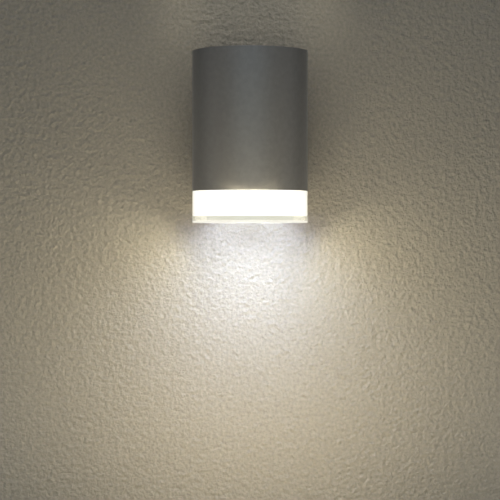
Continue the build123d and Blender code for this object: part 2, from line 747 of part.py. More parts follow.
def make_reflector_plate():
    """White dished ring round the lamp, against the ledge at the top of the mouth."""
    outer_r = mouth_bore_r - slip_fit
    bend_r = outer_r - reflector_flange_w
    hole_r = lamp_face_r + reflector_hole_gap
    return turned(
        (outer_r, reflector_z),
        (bend_r + reflector_t / 2, reflector_z),
        (hole_r, reflector_z + reflector_rise),
        (hole_r, reflector_z + reflector_rise - reflector_t),
        (bend_r, reflector_z - reflector_t),
        (outer_r, reflector_z - reflector_t),
    )


def make_retaining_ring():
    """Spring ring in the mouth's groove, open at the rear, with two lugs for pliers."""
    outer_r = ring_groove_r - seat_gap
    inner_r = mouth_bore_r - ring_band
    lug_path_r = inner_r - ring_lug_r + ring_band / 2
    opening_half = outer_r * math.sin(math.radians(ring_opening_deg / 2))
    outline = Circle(outer_r) - Circle(inner_r)
    outline -= Pos(0, outer_r) * Rectangle(2 * opening_half, outer_r)
    lug_deg = ring_opening_deg / 2 + math.degrees(ring_lug_r / lug_path_r)
    for side in (-1, 1):
        lug = Circle(ring_lug_r) - Circle(ring_lug_hole_r)
        outline += Rot(0, 0, side * lug_deg) * Pos(0, lug_path_r) * lug
    return Pos(0, axis_y, ring_low_z) * extrude(outline, amount=ring_t)


# Diffuser and its ring seal


def make_diffuser_outer():
    """Clear cup below the housing, flush with it."""
    return turned(
        (0, bottom_z),
        (body_r - outer_edge, bottom_z),
        (body_r, bottom_z + outer_edge),
        (body_r, shoulder_z),
        (outer_bore_r, shoulder_z),
        (outer_bore_r, bottom_z + outer_floor),
        (0, bottom_z + outer_floor),
    )


def make_diffuser_inner():
    """White cup inside the clear one, with the neck that screws into the tube's mouth."""
    outer_r = outer_bore_r - seat_gap
    neck_top_z = shoulder_z + neck_height
    cup = turned(
        (0, inner_floor_z),
        (outer_r, inner_floor_z),
        (outer_r, shoulder_z),
        (neck_root_r, shoulder_z),
        (neck_root_r, mouth_step_z),
        (neck_r, mouth_step_z + neck_edge),
        (neck_r, neck_top_z - neck_edge),
        (neck_r - neck_edge, neck_top_z),
        (inner_bore_r, neck_top_z),
        (inner_bore_r, inner_floor_z + inner_floor),
        (0, inner_floor_z + inner_floor),
    )
    floor_edges = cup.edges().filter_by(GeomType.CIRCLE).filter_by_position(
        Axis.Z, inner_floor_z + inner_floor - seat_gap, inner_floor_z + inner_floor + seat_gap
    )
    return fillet(floor_edges, inner_fillet)


def make_diffuser_seal():
    """Rubber ring at the root of the neck, in the step of the tube's mouth."""
    centre_z = (shoulder_z + mouth_step_z) / 2
    return Pos(0, axis_y, centre_z) * Torus(neck_root_r + ring_seal_gap + ring_seal_r, ring_seal_r)


# Lamp


def lamp_solid(inset):
    """The lamp's filled bowl, moved inwards by the inset, with one arc from its rim to its collar."""
    rim_top = (lamp_face_r - inset, lamp_face_z + lamp_rim_h)
    flank = TangentArc(rim_top, (lamp_collar_r - inset, lamp_collar_z - inset), tangent=(0, 1))
    axis_top = (0, lamp_collar_z - inset)
    axis_low = (0, lamp_face_z)
    rim = (lamp_face_r - inset, lamp_face_z)
    face = make_face([flank, Polyline(flank @ 1, axis_top, axis_low, rim, flank @ 0)])
    return Pos(0, axis_y, 0) * revolve(Plane.XZ * face, Axis.Z)


def make_lamp_shell():
    """Lamp body: a thin bowl from the face to the collar, with a ledge for the LED board."""
    ledge_z = lamp_face_z + board_depth + board_t + seat_gap
    ledge = upright(lamp_face_r, ledge_z, ledge_z + lamp_wall)
    ledge -= upright(board_r - lamp_wall, ledge_z, ledge_z + lamp_wall)
    filled = lamp_solid(0)
    return filled - lamp_solid(lamp_wall) + (ledge & filled)


def make_lamp_base():
    """Insulating base that carries the two pins."""
    base = upright(lamp_base_r, lamp_collar_z, lamp_top_z)
    base = chamfer(end_circle(base, -1), lamp_base_edge)
    root_z = lamp_top_z - pin_root
    base -= upright(lamp_base_r - lamp_base_wall, lamp_collar_z, root_z - lamp_base_wall)
    for side in (-1, 1):
        base -= upright(pin_neck_r + seat_gap, root_z, lamp_top_z, 0, axis_y + side * pin_pitch / 2)
    return base


def make_lamp_pins():
    """Two headed pins that hang in the lampholder's curved slots."""
    pins = []
    for side in (-1, 1):
        y = axis_y + side * pin_pitch / 2
        head = upright(pin_head_r, pin_head_z, pin_head_z + pin_head_h, 0, y)
        head = chamfer(end_circle(head, -1), pin_edge)
        pins.append(head + upright(pin_neck_r, lamp_top_z - pin_root + seat_gap, pin_head_z, 0, y))
    return pins


def make_lamp_lens():
    """Clear front lens, set in the lamp's rim."""
    lens_r = lamp_face_r - lamp_wall - seat_gap
    lens_top_z = lamp_face_z + lens_t
    flat = upright(lens_r, lamp_face_z, lens_top_z)
    dome_r = (lens_r**2 + lens_dome**2) / (2 * lens_dome)
    dome = Pos(0, axis_y, lens_top_z + lens_dome - dome_r) * Sphere(dome_r)
    return flat + (dome & upright(lens_r, lens_top_z, lens_top_z + 2 * lens_dome))


def make_led_board():
    """Round board with one light-emitting chip that faces down."""
    low_z = lamp_face_z + board_depth
    board = upright(board_r - seat_gap, low_z, low_z + board_t)
    chip = Box(chip_w, chip_w, chip_t, align=(Align.CENTER, Align.CENTER, Align.MAX))
    return board + Pos(0, axis_y, low_z) * chip


# Pieces in the order of assembly
pieces = {
    "wall_bracket": make_wall_bracket,
    "cable_grommet": make_cable_grommet,
    "wall_box": make_wall_box,
    "wall_gasket": make_wall_gasket,
    "saddle_gasket": make_saddle_gasket,
    "saddle_screws": make_saddle_screws,
    "fixing_screws": make_fixing_screws,
    "clamp_nuts": make_clamp_nuts,
    "housing_tube": make_housing_tube,
    "top_cap": make_top_cap,
    "cap_seal": make_cap_seal,
    "holder_strap": make_holder_strap,
    "strap_screws": make_strap_screws,
    "lampholder_face": make_lampholder_face,
    "lampholder": make_lampholder,
    "holder_contacts": make_holder_contacts,
    "holder_screws": make_holder_screws,
    "holder_nuts": make_holder_nuts,
    "terminal_block": make_terminal_block,
    "terminal_tubes": make_terminal_tubes,
    "terminal_screws": make_terminal_screws,
    "terminal_fixing_screws": make_terminal_fixing_screws,
    "lead_live": make_lead_live,
    "lead_neutral": make_lead_neutral,
    "lead_earth": make_lead_earth,
    "earth_lug": make_earth_lug,
    "earth_screw": make_earth_screw,
    "reflector_plate": make_reflector_plate,
    "retaining_ring": make_retaining_ring,
    "diffuser_seal": make_diffuser_seal,
    "diffuser_outer": make_diffuser_outer,
    "diffuser_inner": make_diffuser_inner,
    "lamp_shell": make_lamp_shell,
    "lamp_base": make_lamp_base,
    "lamp_pins": make_lamp_pins,
    "lamp_lens": make_lamp_lens,
    "led_board": make_led_board,
}

os.makedirs("parts", exist_ok=True)
for name, make in pieces.items():
    made = make()
    solids = made if isinstance(made, list) else [made]
    export_step(Compound(children=solids), f"parts/{name}.step")
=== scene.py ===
import math

import bmesh
import bpy
from mathutils import Matrix, Vector


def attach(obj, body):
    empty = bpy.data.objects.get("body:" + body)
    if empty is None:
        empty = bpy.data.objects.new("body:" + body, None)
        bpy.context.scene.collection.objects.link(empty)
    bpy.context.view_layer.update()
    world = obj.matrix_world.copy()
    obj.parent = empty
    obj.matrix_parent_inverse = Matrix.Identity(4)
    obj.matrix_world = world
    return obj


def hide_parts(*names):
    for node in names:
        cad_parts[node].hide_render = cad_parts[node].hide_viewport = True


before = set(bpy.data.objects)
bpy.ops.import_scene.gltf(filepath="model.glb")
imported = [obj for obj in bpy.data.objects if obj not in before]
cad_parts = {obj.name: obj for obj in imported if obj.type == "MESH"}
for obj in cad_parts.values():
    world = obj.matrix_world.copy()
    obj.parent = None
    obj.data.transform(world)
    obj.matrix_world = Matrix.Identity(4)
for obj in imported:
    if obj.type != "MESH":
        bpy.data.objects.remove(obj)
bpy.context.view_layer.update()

# The view: straight at the light from 1.4 m in front of the wall, with the eye at the foot of the cup, as
# the slight arch of the top edge and the flat lower edges show.
EYE = (0, -1.434, -0.0834)
LOOK_DOWN = math.radians(0.715)
LENS_MM = 126.9

camera = bpy.data.objects.new("camera", bpy.data.cameras.new("camera"))
camera.data.sensor_width = 36
camera.data.lens = LENS_MM
camera.data.clip_start = 0.01
camera.location = EYE
camera.rotation_euler = (math.pi / 2 - LOOK_DOWN, 0, 0)
bpy.context.scene.collection.objects.link(camera)
bpy.context.scene.camera = camera
bpy.context.scene.view_settings.view_transform = "Standard"

# The house wall that the light hangs on: warm grey render with a rolled, dimpled coat of paint.
# It is stage. Its back lets light and the eye through, so the rear of the light can be looked at.
WALL_COLOUR = (0.165, 0.153, 0.123)
WALL_SHADE = (0.117, 0.109, 0.087)
WALL_REACH = 3.0
DIMPLE, DIMPLE_DEPTH = 0.0042, 0.0024
GRAIN, GRAIN_DEPTH = DIMPLE / 3, 0.0004
BLOTCH = 0.6 * DIMPLE
NEAR_HIT = 0.03
CREASE = 0.6


def piece_from(bm, name, crease=CREASE):
    """Object at the origin with the bmesh as its mesh, smooth but for edges sharper than the crease angle."""
    mesh = bpy.data.meshes.new(name)
    bm.to_mesh(mesh)
    bm.free()
    mesh.shade_smooth()
    mesh.set_sharp_from_angle(angle=crease)
    piece = bpy.data.objects.new(name, mesh)
    bpy.context.scene.collection.objects.link(piece)
    return piece


def finish_of(name, colour, metallic, roughness):
    """Material with one Principled shader: itself, its node tree and the shader."""
    material = bpy.data.materials.new(name)
    material.use_nodes = True
    tree = material.node_tree
    shader = tree.nodes["Principled BSDF"]
    shader.inputs["Base Color"].default_value = (*colour, 1)
    shader.inputs["Metallic"].default_value = metallic
    shader.inputs["Roughness"].default_value = roughness
    return material, tree, shader


def noise_on(tree, size, stretch=(1, 1, 1), detail=3.0):
    """Noise whose lumps measure about the size in metres, on the piece's own coordinates."""
    place = tree.nodes.new("ShaderNodeTexCoord")
    mapping = tree.nodes.new("ShaderNodeMapping")
    mapping.inputs["Scale"].default_value = stretch
    noise = tree.nodes.new("ShaderNodeTexNoise")
    noise.inputs["Scale"].default_value = 1 / size
    noise.inputs["Detail"].default_value = detail
    noise.inputs["Roughness"].default_value = 0.55
    tree.links.new(place.outputs["Object"], mapping.inputs["Vector"])
    tree.links.new(mapping.outputs["Vector"], noise.inputs["Vector"])
    return noise.outputs["Fac"]


def shade_between(tree, shader, height, low, high, spread=(0.35, 0.65)):
    """The base colour runs from low to high with the height."""
    ramp = tree.nodes.new("ShaderNodeValToRGB")
    for stop, place, colour in zip(ramp.color_ramp.elements, spread, (low, high)):
        stop.position = place
        stop.color = (*colour, 1)
    tree.links.new(height, ramp.inputs["Fac"])
    tree.links.new(ramp.outputs["Color"], shader.inputs["Base Color"])


def roughness_between(tree, shader, height, low, high):
    """The roughness runs from low to high with the height."""
    span = tree.nodes.new("ShaderNodeMapRange")
    span.inputs["From Min"].default_value = 0.3
    span.inputs["From Max"].default_value = 0.7
    span.inputs["To Min"].default_value = low
    span.inputs["To Max"].default_value = high
    tree.links.new(height, span.inputs["Value"])
    tree.links.new(span.outputs["Result"], shader.inputs["Roughness"])


def relief(tree, shader, height, depth):
    """The surface stands up with the height by the depth in metres; a second call adds to the first."""
    bump = tree.nodes.new("ShaderNodeBump")
    bump.inputs["Distance"].default_value = depth
    tree.links.new(height, bump.inputs["Height"])
    if shader.inputs["Normal"].is_linked:
        tree.links.new(shader.inputs["Normal"].links[0].from_socket, bump.inputs["Normal"])
    tree.links.new(bump.outputs["Normal"], shader.inputs["Normal"])


def see_through_behind(tree, shader):
    """The stage sheet shows only from its front, casts no shadow, and lets rays that start beside it by."""
    geometry = tree.nodes.new("ShaderNodeNewGeometry")
    path = tree.nodes.new("ShaderNodeLightPath")
    near = tree.nodes.new("ShaderNodeMath")
    near.operation = "LESS_THAN"
    near.inputs[1].default_value = NEAR_HIT
    passing = tree.nodes.new("ShaderNodeMath")
    passing.operation = "MAXIMUM"
    either = tree.nodes.new("ShaderNodeMath")
    either.operation = "MAXIMUM"
    clear = tree.nodes.new("ShaderNodeBsdfTransparent")
    mix = tree.nodes.new("ShaderNodeMixShader")
    tree.links.new(path.outputs["Ray Length"], near.inputs[0])
    tree.links.new(near.outputs["Value"], passing.inputs[0])
    tree.links.new(path.outputs["Is Shadow Ray"], passing.inputs[1])
    tree.links.new(passing.outputs["Value"], either.inputs[0])
    tree.links.new(geometry.outputs["Backfacing"], either.inputs[1])
    tree.links.new(either.outputs["Value"], mix.inputs["Fac"])
    tree.links.new(shader.outputs["BSDF"], mix.inputs[1])
    tree.links.new(clear.outputs["BSDF"], mix.inputs[2])
    tree.links.new(mix.outputs["Shader"], tree.nodes["Material Output"].inputs["Surface"])


sheet = bmesh.new()
bmesh.ops.create_grid(sheet, x_segments=1, y_segments=1, size=WALL_REACH)
bmesh.ops.rotate(sheet, verts=sheet.verts, matrix=Matrix.Rotation(math.pi / 2, 3, "X"))
wall = piece_from(sheet, "wall")
wall_paint, tree, shader = finish_of("wall_paint", WALL_COLOUR, metallic=0.0, roughness=0.75)
shade_between(tree, shader, noise_on(tree, size=BLOTCH), WALL_SHADE, WALL_COLOUR, spread=(0.3, 0.7))
relief(tree, shader, noise_on(tree, size=DIMPLE, detail=2.5), depth=DIMPLE_DEPTH)
relief(tree, shader, noise_on(tree, size=GRAIN), depth=GRAIN_DEPTH)
see_through_behind(tree, shader)
wall.data.materials.append(wall_paint)

# The ground far below the light, a plain pale floor that throws a little light back up, as paving does.
# It is stage too.
FLOOR_Z, FLOOR_REACH = -1.2, 4.0
FLOOR_COLOUR = (0.62, 0.60, 0.56)

sheet = bmesh.new()
bmesh.ops.create_grid(sheet, x_segments=1, y_segments=1, size=FLOOR_REACH)
bmesh.ops.translate(sheet, verts=sheet.verts, vec=(0, 0, FLOOR_Z))
floor = piece_from(sheet, "floor")
floor_paint, tree, shader = finish_of("floor_paint", FLOOR_COLOUR, metallic=0.0, roughness=0.8)
floor.data.materials.append(floor_paint)

# The lights of the room: a broad soft panel behind the camera, low ones in front of the cup, and panels at
# the sides, above and behind. A plain warm grey world fills the rest. All of it is stage.
WORLD_GREY = (0.80, 0.77, 0.69)
WORLD_STRENGTH = 0.18

world = bpy.data.worlds.new("world")
bpy.context.scene.world = world
world.use_nodes = True
world.node_tree.nodes["Background"].inputs["Color"].default_value = (*WORLD_GREY, 1)
world.node_tree.nodes["Background"].inputs["Strength"].default_value = WORLD_STRENGTH


def soft_panel(name, place, aim, size, watts, colour=(1, 1, 1), spread=180, shape="SQUARE", depth=None):
    """Area lamp that faces a point. Its spread is in degrees; a depth makes it a rectangle."""
    data = bpy.data.lights.new(name, "AREA")
    data.shape = "RECTANGLE" if depth else shape
    data.size = size
    if depth:
        data.size_y = depth
    data.energy = watts
    data.color = colour
    data.spread = math.radians(spread)
    lamp = bpy.data.objects.new(name, data)
    lamp.location = place
    lamp.rotation_euler = (Vector(aim) - Vector(place)).to_track_quat("-Z", "Y").to_euler()
    lamp.visible_camera = False
    lamp.visible_transmission = False
    bpy.context.scene.collection.objects.link(lamp)
    return lamp


soft_panel(
    "front_panel", place=(0, -2.6, 0.15), aim=(0, 0, 0), size=3.0, watts=17.0,
    colour=(0.53, 0.79, 1.0),
)
soft_panel(
    "low_panel", place=(0, -0.22, -0.26), aim=(0, -0.06, -0.04), size=0.22, watts=1.75,
    colour=(1.0, 0.85, 0.61),
)
for side in (-1, 1):
    soft_panel("side_panel", place=(side * 0.3, -0.12, -0.24), aim=(0, -0.06, -0.03), size=0.22, watts=0.17)
    soft_panel("flank_panel", place=(side * 2.2, -0.15, 0.2), aim=(0, -0.06, 0), size=1.2, watts=2.0)
    soft_panel("rear_panel", place=(side * 0.55, 1.6, -0.5), aim=(0, 0, 0), size=1.2, watts=9.0)
soft_panel("top_panel", place=(0, -0.5, 0.9), aim=(0, 0, 0.1), size=0.8, watts=4.6, colour=(0.79, 0.81, 1.0))

# The light of the lamp itself on the wall: a beam that leaves through the floor of the cup, its spill to
# both sides, the glow along the tube's rim, and a faint patch above the body. It is stage too.
BEAM_TOP = -0.0799

beams = [
    soft_panel(
        "crown", place=(0, -0.045, 0.13), aim=(0, 0, 0.09), size=0.15, depth=0.06, watts=0.025,
        colour=(1.0, 0.91, 0.74), spread=60,
    ),
    soft_panel(
        "beam", place=(0, -0.045, -0.084), aim=(0, -0.02, -0.2), size=0.1, watts=0.26,
        colour=(0.75, 0.85, 1.0), spread=150, shape="DISK",
    ),
    soft_panel(
        "slant", place=(0, -0.057, -0.083), aim=(0, 0, -0.2), size=0.08, watts=0.376,
        colour=(0.67, 0.74, 1.0), spread=120, shape="DISK",
    ),
    soft_panel(
        "foot", place=(0, -0.022, BEAM_TOP), aim=(0, 0, -0.12), size=0.085, depth=0.008, watts=0.052,
        colour=(0.44, 0.51, 1.0),
    ),
    soft_panel(
        "rim", place=(0, -0.1029, -0.0557), aim=(0, -0.1, -0.052), size=0.05, depth=0.001, watts=0.0046,
        colour=(1.0, 0.88, 0.62),
    ),
]
for side in (-1, 1):
    beams.append(soft_panel(
        "spill", place=(side * 0.04, -0.04, BEAM_TOP), aim=(side * 0.2, -0.04, -0.2), size=0.03, watts=0.103,
        colour=(1.0, 0.91, 0.69), spread=130,
    ))
for beam in beams:
    beam.visible_glossy = False

# Wall bracket: a folded sheet-steel plate with two slots and a dished cable hole, zinc plated and
# screwed to the wall. Its side flanges are what the two fixing screws clamp.
ZINC = (0.52, 0.53, 0.54)
ZINC_DARK = (0.40, 0.41, 0.42)


def dress(material, *nodes):
    """Give CAD nodes their finish."""
    for node in nodes:
        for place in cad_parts[node].material_slots:
            place.material = material


def edge_rounded(node, name, width, flat=0.02, inner=True):
    """Copy of a CAD node's solid with a small round on its sharp edges, its inner corners too or not."""
    bm = bmesh.new()
    bm.from_mesh(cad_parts[node].data)
    bmesh.ops.remove_doubles(bm, verts=bm.verts, dist=2e-6)
    bmesh.ops.dissolve_degenerate(bm, edges=bm.edges, dist=1e-6)
    bmesh.ops.dissolve_limit(bm, angle_limit=flat, verts=bm.verts, edges=bm.edges)
    edges = [e for e in bm.edges if e.is_manifold and e.calc_face_angle(0) > CREASE]
    edges = [e for e in edges if inner or e.is_convex]
    bmesh.ops.bevel(
        bm, geom=edges, offset=width, offset_type="OFFSET", segments=2,
        profile=0.5, affect="EDGES", material=-1,
    )
    piece = piece_from(bm, name)
    piece.modifiers.new("even_light", "WEIGHTED_NORMAL").keep_sharp = True
    return piece


def fit(piece, material, body, slot, *nodes):
    """Finish a new piece, set it on its body, and let it stand for CAD nodes."""
    piece.data.materials.append(material)
    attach(piece, body)
    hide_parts(*nodes)


zinc_plate, tree, shader = finish_of("zinc_plate", ZINC, metallic=1.0, roughness=0.34)
shade_between(tree, shader, noise_on(tree, size=0.009, detail=6), ZINC_DARK, ZINC)
roughness_between(tree, shader, noise_on(tree, size=0.003), low=0.27, high=0.42)
relief(tree, shader, noise_on(tree, size=0.0008, stretch=(1, 1, 0.05)), depth=0.00002)
piece = edge_rounded("wall_bracket", "bracket_plate", width=0.0002)
fit(piece, zinc_plate, "bracket", "zinc_steel", "wall_bracket")

# Cable grommet: moulded black rubber, pressed into the dished hole of the bracket. A lip on each side
# holds it there and keeps the supply cord off the steel.
RUBBER = (0.022, 0.022, 0.023)
RUBBER_DUSTY = (0.034, 0.034, 0.034)

black_rubber, tree, shader = finish_of("black_rubber", RUBBER, metallic=0.0, roughness=0.62)
shade_between(tree, shader, noise_on(tree, size=0.004, detail=5), RUBBER, RUBBER_DUSTY)
relief(tree, shader, noise_on(tree, size=0.0005), depth=0.00002)
piece = edge_rounded("cable_grommet", "grommet", width=0.0003)
fit(piece, black_rubber, "bracket", "black_rubber", "cable_grommet")

# Wall box: a die-cast aluminium saddle in the tube's own grey, open to the wall and hollowed in front to
# the tube's radius. Four screws from inside the tube hold it.
COAT = (0.123, 0.122, 0.117)
COAT_LIGHT = (0.140, 0.139, 0.133)

cast_coat, tree, shader = finish_of("cast_coat", COAT, metallic=0.5, roughness=0.50)
shade_between(tree, shader, noise_on(tree, size=0.006, detail=4), COAT, COAT_LIGHT)
relief(tree, shader, noise_on(tree, size=0.0012, detail=4), depth=0.00005)
piece = edge_rounded("wall_box", "box_casting", width=0.0003)
fit(piece, cast_coat, "housing", "cast_aluminium", "wall_box")

# Gaskets: a die-cut frame of closed-cell foam between the box's rim and the wall, and a black rubber
# sheet between the box and the tube.
FOAM = (0.045, 0.045, 0.048)
FOAM_LIGHT = (0.07, 0.07, 0.074)

foam, tree, shader = finish_of("foam", FOAM, metallic=0.0, roughness=0.9)
shade_between(tree, shader, noise_on(tree, size=0.0006, detail=2), FOAM, FOAM_LIGHT)
relief(tree, shader, noise_on(tree, size=0.0004), depth=0.00006)
dress(foam, "wall_gasket")
dress(black_rubber, "saddle_gasket")

# Screws and nuts of the wall box: stainless steel, cold headed, with rolled threads and hexagon sockets.
# Four hold the box to the tube; the two at its sides clamp it to the bracket's flanges.
STEEL = (0.56, 0.55, 0.53)
STEEL_DARK = (0.45, 0.44, 0.425)
M4 = {"shank_r": 0.002, "head_r": 0.0036, "head_h": 0.0024, "pitch": 0.0007}
SADDLE_SCREW_SEAT, SADDLE_SCREW_LENGTH = -0.016407, 0.010
CLAMP_SCREW_SEAT, CLAMP_SCREW_Y, CLAMP_SCREW_LENGTH = 0.02705, -0.0065, 0.011
SCREW_X, SCREW_Z = 0.009, 0.035


def cut_away(piece, cutter, crease=CREASE, operation="DIFFERENCE"):
    """The piece without what the cutter fills, or with it; the cutter is used up."""
    work = piece.modifiers.new("cut", "BOOLEAN")
    work.operation = operation
    work.solver = "EXACT"
    work.object = cutter
    bpy.context.view_layer.update()
    worked = piece.evaluated_get(bpy.context.evaluated_depsgraph_get())
    left = bpy.data.meshes.new_from_object(worked)
    piece.modifiers.clear()
    whole, piece.data = piece.data, left
    name = whole.name
    bpy.data.meshes.remove(whole)
    bpy.data.objects.remove(cutter)
    left.name = name
    left.shade_smooth()
    left.set_sharp_from_angle(angle=crease)


def spin_round(bm, steps):
    """Spin the profile into a solid, its edges and faces in the same order each run."""
    bmesh.ops.spin(
        bm, geom=bm.verts[:] + bm.edges[:], cent=(0, 0, 0), axis=(0, 0, 1),
        angle=2 * math.pi, steps=steps, use_merge=True,
    )
    bmesh.ops.remove_doubles(bm, verts=bm.verts, dist=1e-7)
    bmesh.ops.recalc_face_normals(bm, faces=bm.faces)
    bm.verts.index_update()
    for parts in (bm.edges, bm.faces):
        in_order = sorted(parts, key=lambda part: sorted(v.index for v in part.verts))
        rank = {part: n for n, part in enumerate(in_order)}
        parts.sort(key=lambda part: rank[part])


def screw_set(name, places, length, shank_r, head_r, head_h, pitch, slotted=False):
    """Like screws at their places: each head stands on its place's z = 0, with the shank below it."""
    bm = bmesh.new()
    corners = [(0, -length), (0.75 * shank_r, -length), (shank_r, -length + 0.25 * shank_r)]
    for turn in range(int((length - 0.25 * shank_r) / pitch - 0.8)):
        low = -length + 0.25 * shank_r + turn * pitch
        corners += [
            (shank_r, low + 0.12 * pitch), (shank_r - 0.55 * pitch, low + 0.5 * pitch),
            (shank_r, low + 0.88 * pitch),
        ]
    corners += [(shank_r, 0), (head_r, 0), (head_r, head_h), (0, head_h)]
    points = [bm.verts.new((r, 0, z)) for r, z in corners]
    for a, b in zip(points, points[1:]):
        bm.edges.new((a, b))
    bmesh.ops.bevel(
        bm, geom=[points[-2]], offset=0.6 * head_h, offset_type="OFFSET", segments=6,
        profile=0.5, affect="VERTICES", material=-1,
    )
    spin_round(bm, steps=36)
    first = bm.verts[:] + bm.edges[:] + bm.faces[:]
    for place in places[1:]:
        made = bmesh.ops.duplicate(bm, geom=first)["geom"]
        bmesh.ops.transform(bm, matrix=place, verts=[v for v in made if isinstance(v, bmesh.types.BMVert)])
    bmesh.ops.transform(bm, matrix=places[0], verts=[v for v in first if isinstance(v, bmesh.types.BMVert)])
    sockets = bmesh.new()
    for place in places:
        middle = place @ Matrix.Translation((0, 0, 0.9 * head_h))
        if slotted:
            bar = middle @ Matrix.Diagonal((3 * head_r, 0.3 * head_r, head_h, 1))
            bmesh.ops.create_cube(sockets, size=1, matrix=bar)
        else:
            bmesh.ops.create_cone(
                sockets, cap_ends=True, segments=6, radius1=shank_r, radius2=shank_r,
                depth=head_h, matrix=middle,
            )
    piece = piece_from(bm, name, 0.5)
    cut_away(piece, piece_from(sockets, "cutter"), 0.5)
    return piece


def turned_to(axis, degrees, *at):
    """A place turned about one axis."""
    return Matrix.Translation(at) @ Matrix.Rotation(math.radians(degrees), 4, axis)


stainless, tree, shader = finish_of("stainless", STEEL, metallic=1.0, roughness=0.28)
shade_between(tree, shader, noise_on(tree, size=0.002, detail=5), STEEL_DARK, STEEL)
roughness_between(tree, shader, noise_on(tree, size=0.0006), low=0.22, high=0.38)

saddle_places = [
    turned_to("X", 90, x, SADDLE_SCREW_SEAT, z) for x in (-SCREW_X, SCREW_X) for z in (-SCREW_Z, SCREW_Z)
]
piece = screw_set("saddle_screw_set", saddle_places, SADDLE_SCREW_LENGTH, **M4)
fit(piece, stainless, "housing", "stainless", "saddle_screws")
clamp_places = [turned_to("Y", side * 90, side * CLAMP_SCREW_SEAT, CLAMP_SCREW_Y, 0) for side in (-1, 1)]
piece = screw_set("clamp_screw_set", clamp_places, CLAMP_SCREW_LENGTH, **M4)
fit(piece, stainless, "housing", "stainless", "fixing_screws")
piece = edge_rounded("clamp_nuts", "clamp_nut_set", width=0.0001)
fit(piece, stainless, "housing", "stainless", "clamp_nuts")

# Housing tube: extruded aluminium, turned at both ends, sprayed satin grey. It carries the cap in a
# ledge at the top, the lamp and its holder inside, and the cup in its bored mouth.
AXIS_Y = -0.057
TURNED_STEPS = 256
BODY_R = 0.045
TOP_Z = 0.0545
RIM_Z = -0.0545
BORE_R = 0.041
RECESS_R, RECESS_DEPTH = 0.0426, 0.004
MOUTH_R, MOUTH_TOP = 0.042, -0.043
GROOVE_R, GROOVE_TOP, GROOVE_LOW = 0.043, -0.04425, -0.04535
STEP_R, STEP_TOP = 0.04325, -0.05225
EDGE_R, MOUTH_EDGE_R = 0.0004, 0.0002
THREAD_PITCH, THREAD_HALF_H, THREAD_STEPS = 0.004, 0.0009, 64
MOUTH_THREAD_Z, MOUTH_THREAD_DEPTH, MOUTH_THREAD_TURNS = -0.0512, 0.0006, 1.1
WINDOW_W, WINDOW_H, WINDOW_CORNER = 0.036, 0.058, 0.006
SCREW_HOLE_R, SPOT_FACE_R, SPOT_FACE_Y = 0.00215, 0.0039, -0.01636
SATIN = (0.123, 0.122, 0.117)
SATIN_LIGHT = (0.137, 0.136, 0.130)


def turned(name, corners, rounds):
    """Solid turned about the body's axis from (radius, height) corners, some of them rounded."""
    bm = bmesh.new()
    points = [bm.verts.new((r, 0, z)) for r, z in corners]
    ends_on_axis = corners[0][0] == 0 and corners[-1][0] == 0
    for a, b in zip(points, points[1:] + ([] if ends_on_axis else points[:1])):
        bm.edges.new((a, b))
    for index, radius in rounds:
        bmesh.ops.bevel(
            bm, geom=[points[index]], offset=radius, offset_type="OFFSET", segments=5,
            profile=0.5, affect="VERTICES", material=-1, clamp_overlap=True,
        )
    spin_round(bm, steps=TURNED_STEPS)
    bmesh.ops.translate(bm, verts=bm.verts, vec=(0, AXIS_Y, 0))
    return piece_from(bm, name)


def add_rod(bm, radius, start, end):
    """A cylinder between two points, added to the bmesh."""
    run = Vector(end) - Vector(start)
    turn = run.to_track_quat("Z", "Y").to_matrix().to_4x4()
    place = Matrix.Translation((Vector(start) + Vector(end)) / 2) @ turn
    bmesh.ops.create_cone(
        bm, cap_ends=True, segments=48, radius1=radius, radius2=radius, depth=run.length, matrix=place
    )


def add_rounded_block(bm, low, high, corner, along):
    """A box whose four edges along one axis are rounded, added to the bmesh."""
    low, high = Vector(low), Vector(high)
    place = Matrix.Translation((low + high) / 2) @ Matrix.Diagonal((*(high - low), 1))
    made = bmesh.ops.create_cube(bm, size=1, matrix=place)["verts"]
    edges = [e for e in bm.edges if e.verts[0] in made and e.verts[1] in made]
    straight = [e for e in edges if abs((e.verts[0].co - e.verts[1].co).normalized()[along]) > 0.99]
    bmesh.ops.bevel(
        bm, geom=straight, offset=corner, offset_type="OFFSET", segments=8,
        profile=0.5, affect="EDGES", material=-1,
    )


def thread_turn(root_r, crest_r, start_z, turns):
    """One run of screw thread about the body's axis, as a closed ridge."""
    bm = bmesh.new()
    crest_half_h = 0.45 * THREAD_HALF_H
    corners = [
        (root_r, -THREAD_HALF_H), (crest_r, -crest_half_h), (crest_r, crest_half_h), (root_r, THREAD_HALF_H),
    ]
    points = [bm.verts.new((r, 0, start_z + z)) for r, z in corners]
    for a, b in zip(points, points[1:] + points[:1]):
        bm.edges.new((a, b))
    count = round(THREAD_STEPS * turns)
    bmesh.ops.spin(
        bm, geom=bm.verts[:] + bm.edges[:], cent=(0, 0, 0), axis=(0, 0, 1),
        dvec=(0, 0, THREAD_PITCH * turns / count), angle=2 * math.pi * turns, steps=count, use_merge=False,
    )
    bmesh.ops.holes_fill(bm, edges=[e for e in bm.edges if e.is_boundary], sides=4)
    bmesh.ops.translate(bm, verts=bm.verts, vec=(0, AXIS_Y, 0))
    bmesh.ops.recalc_face_normals(bm, faces=bm.faces)
    return piece_from(bm, "thread")


